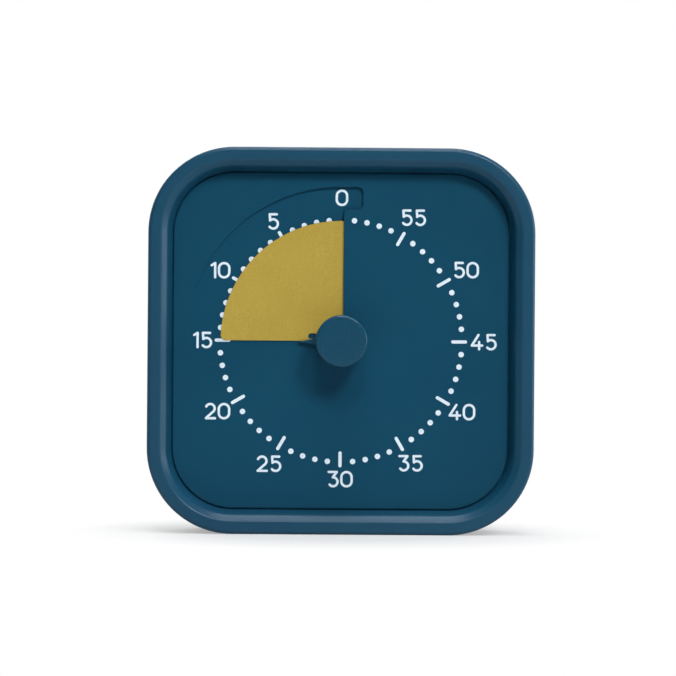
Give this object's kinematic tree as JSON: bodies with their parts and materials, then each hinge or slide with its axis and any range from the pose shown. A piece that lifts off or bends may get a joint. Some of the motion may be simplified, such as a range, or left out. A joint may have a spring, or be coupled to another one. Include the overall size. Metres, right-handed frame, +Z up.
{
  "type": "visual countdown timer",
  "caption": "Square desktop countdown timer: deep rounded case, recessed dial, centre knob, and a coloured disk that turns out of a slit to show the time left.",
  "frame": {"origin": "centre of the timer's footprint on the surface it stands on, halfway between the knob's face and the back", "axes": "+Z up, -Y out of the dial towards the viewer, +X to the viewer's right"},
  "size_m": [0.14, 0.048, 0.14],
  "materials": {
    "case_plastic": "fine-textured moulded ABS, deep petrol blue",
    "dial_plastic": "fine-textured moulded ABS, deep petrol blue",
    "ink": "pad-printed ink, very pale blue",
    "disk_card": "matte coated film, mustard yellow",
    "knob_plastic": "satin moulded ABS, deep petrol blue",
    "screw_steel": "zinc-plated",
    "arbor_steel": "turned",
    "spring_brass": "rolled",
    "gear_acetal": "moulded acetal",
    "black_plastic": "moulded ABS, black",
    "magnet": "sintered",
    "core_steel": "annealed lamination",
    "bobbin_nylon": "moulded nylon",
    "copper_wire": "enamelled copper wire",
    "board_laminate": "green solder resist",
    "chip_epoxy": "black epoxy",
    "plated_steel": "nickel-plated",
    "slider_plastic": "moulded acetal, white",
    "battery_label": null
  },
  "bodies": {
    "case": {"front_case": "case_plastic", "rear_cover": "case_plastic", "case_screws": "screw_steel", "dial_face": "dial_plastic", "dial_marks": "ink", "dial_screws": "screw_steel", "mid_plate": "black_plastic", "plate_screws": "screw_steel", "movement_case": "black_plastic", "movement_cover": "black_plastic", "movement_screws": "screw_steel", "cover_screws": "screw_steel", "stator": "core_steel", "coil_core": "core_steel", "coil_bobbin": "bobbin_nylon", "coil_winding": "copper_wire", "circuit_board": "board_laminate", "chip": "chip_epoxy", "crystal": "plated_steel", "buzzer": "black_plastic", "switch_body": "plated_steel", "battery": "battery_label", "positive_contact": "plated_steel", "negative_spring": "plated_steel", "alarm_leaves": "spring_brass"},
    "knob": {"knob": "knob_plastic", "arbor": "arbor_steel", "retaining_clip": "arbor_steel", "clutch_spring": "spring_brass", "clutch_collar": "spring_brass", "alarm_cam": "gear_acetal"},
    "disk": {"time_disk": "disk_card", "disk_hub": "knob_plastic"},
    "centre_wheel": {"centre_wheel": "gear_acetal"},
    "third_wheel": {"third_wheel": "gear_acetal"},
    "fourth_wheel": {"fourth_wheel": "gear_acetal"},
    "fifth_wheel": {"fifth_wheel": "gear_acetal"},
    "rotor": {"rotor_pinion": "gear_acetal", "rotor_magnet": "magnet"},
    "battery_door": {"battery_door": "case_plastic"},
    "sound_switch": {"switch_slider": "slider_plastic"}
  },
  "joints": [
    {"name": "knob_turn", "type": "hinge", "parent": "case", "child": "knob", "pos_m": [0, 0, 0.07], "axis": [0, -1, 0], "range_deg": [-90, 270]},
    {"name": "disk_rise", "type": "slide", "parent": "knob", "child": "disk", "axis": [0, -1, 0], "range_m": [-0.00133, 0.00398]},
    {"name": "rotor_spin", "type": "hinge", "parent": "case", "child": "rotor", "pos_m": [0.01224, 0, 0.07929], "axis": [0, -1, 0], "continuous": true},
    {"name": "fifth_spin", "type": "hinge", "parent": "case", "child": "fifth_wheel", "pos_m": [0.00548, 0, 0.08175], "axis": [0, -1, 0], "continuous": true},
    {"name": "fourth_spin", "type": "hinge", "parent": "case", "child": "fourth_wheel", "pos_m": [-0.0028, 0, 0.08321], "axis": [0, -1, 0], "continuous": true},
    {"name": "third_spin", "type": "hinge", "parent": "case", "child": "third_wheel", "pos_m": [-0.00935, 0, 0.0754], "axis": [0, -1, 0], "continuous": true},
    {"name": "centre_spin", "type": "hinge", "parent": "case", "child": "centre_wheel", "pos_m": [0, 0, 0.07], "axis": [0, -1, 0], "continuous": true},
    {"name": "door_slide", "type": "slide", "parent": "case", "child": "battery_door", "axis": [1, 0, 0], "range_m": [0, 0.007]},
    {"name": "switch_slide", "type": "slide", "parent": "case", "child": "sound_switch", "axis": [1, 0, 0], "range_m": [0, 0.003]}
  ],
  "couplings": [
    {"joint": "disk_rise", "follows": "knob_turn", "m_per_rad": 0.00084436},
    {"joint": "fifth_spin", "follows": "rotor_spin", "ratio": -0.2},
    {"joint": "fourth_spin", "follows": "rotor_spin", "ratio": 0.033333},
    {"joint": "third_spin", "follows": "rotor_spin", "ratio": -0.0044444},
    {"joint": "centre_spin", "follows": "rotor_spin", "ratio": 0.00055556}
  ]
}
